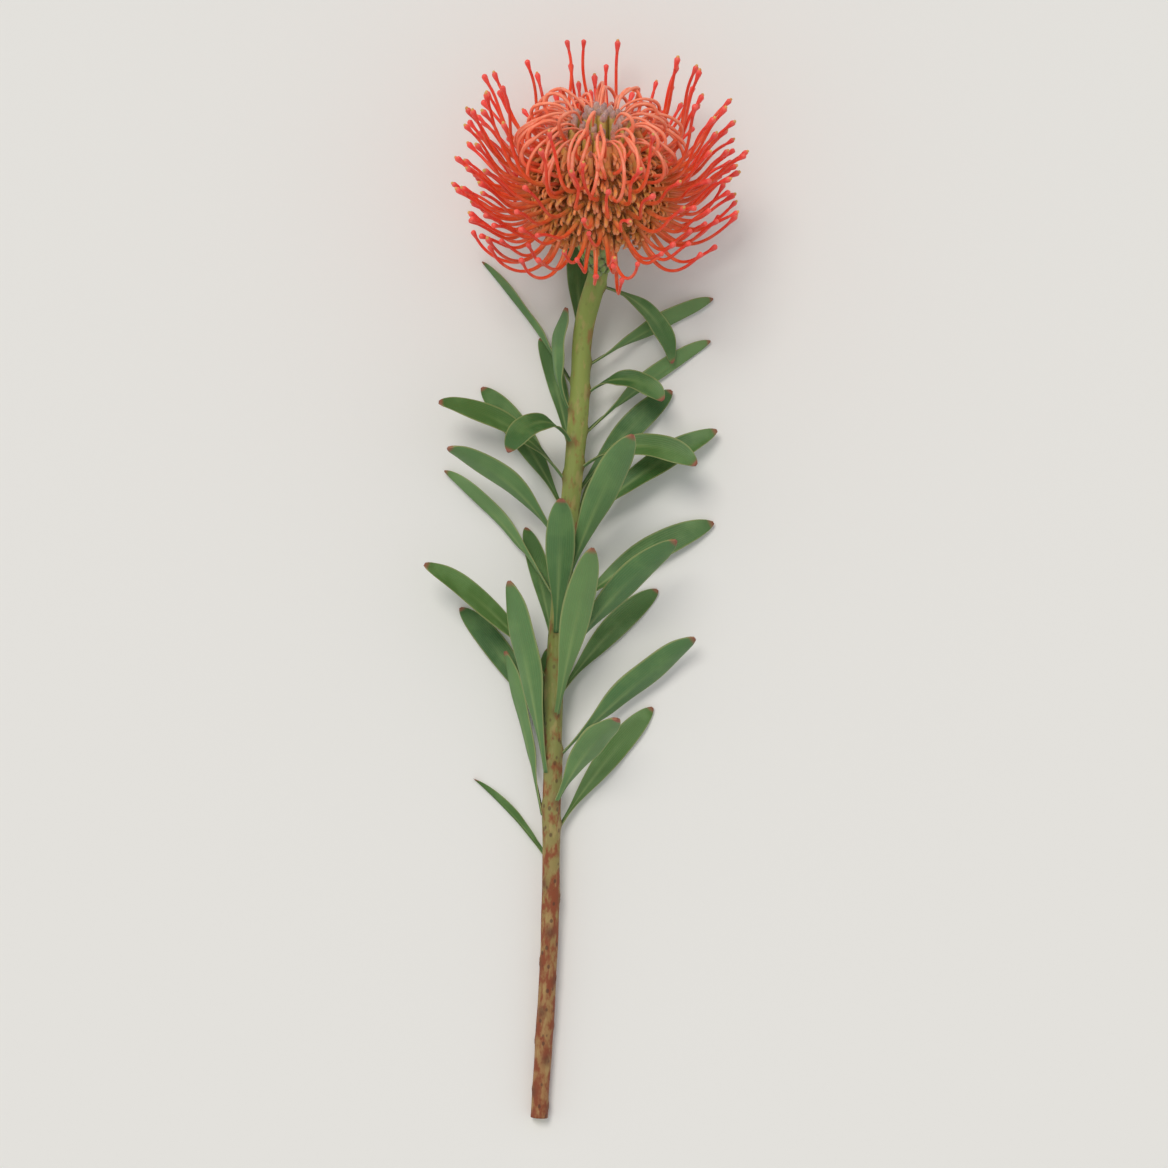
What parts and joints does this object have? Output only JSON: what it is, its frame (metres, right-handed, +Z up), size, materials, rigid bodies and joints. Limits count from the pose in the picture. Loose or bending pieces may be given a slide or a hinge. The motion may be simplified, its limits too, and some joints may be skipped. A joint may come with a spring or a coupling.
{
  "type": "cut pincushion protea stem",
  "caption": "Cut stem of an orange-red pincushion protea, lying down, with one open flower head and its narrow green leaves.",
  "frame": {"origin": "on the surface that the stem lies on, under the middle of the whole stem's bounding box", "axes": "+X along the stem from the cut end to the flower head, +Z up from the surface, so that the front of the flower looks up"},
  "size_m": [0.506, 0.1379, 0.1206],
  "materials": {
    "stem": "green bark flushed red-brown towards the cut end, matt",
    "bract": "grey-green scales with short wool",
    "bud": "pale yellow-green tubes with grey-mauve woolly tips",
    "floret": "waxy coral-orange styles over tan woolly claws",
    "perianth": "tan-pink rolled claws with short hairs over yellow-green tubes",
    "presenter": "satin crimson cone with a yellow pollen tip",
    "leaf": "matt leathery green with a red-brown callus tip"
  },
  "bodies": {
    "root": {"stem": "stem", "involucre": "bract", "bud_cluster": "bud", "floret_row_01": "floret", "floret_row_02": "floret", "floret_row_03": "floret", "floret_row_04": "floret", "floret_row_05": "floret", "floret_row_06": "floret", "floret_row_07": "floret", "floret_row_08": "floret", "floret_row_09": "floret", "floret_row_10": "floret", "floret_row_11": "floret", "floret_row_12": "floret", "floret_row_13": "floret", "floret_row_14": "floret", "floret_row_15": "floret", "floret_row_16": "floret", "floret_row_17": "floret", "floret_row_18": "floret", "floret_row_19": "floret", "floret_row_20": "floret", "floret_row_21": "floret", "leaf_01": "leaf", "leaf_02": "leaf", "leaf_03": "leaf", "leaf_04": "leaf", "leaf_05": "leaf", "leaf_06": "leaf", "leaf_07": "leaf", "leaf_08": "leaf", "leaf_09": "leaf", "leaf_10": "leaf", "leaf_11": "leaf", "leaf_12": "leaf", "leaf_13": "leaf", "leaf_14": "leaf", "leaf_15": "leaf", "leaf_16": "leaf", "leaf_17": "leaf", "leaf_18": "leaf", "leaf_19": "leaf", "leaf_20": "leaf", "leaf_21": "leaf", "leaf_22": "leaf", "leaf_23": "leaf", "leaf_24": "leaf", "leaf_25": "leaf", "leaf_26": "leaf", "leaf_27": "leaf", "leaf_28": "leaf", "leaf_29": "leaf", "leaf_30": "leaf", "leaf_31": "leaf", "leaf_32": "leaf", "leaf_33": "leaf"}
  },
  "joints": []
}
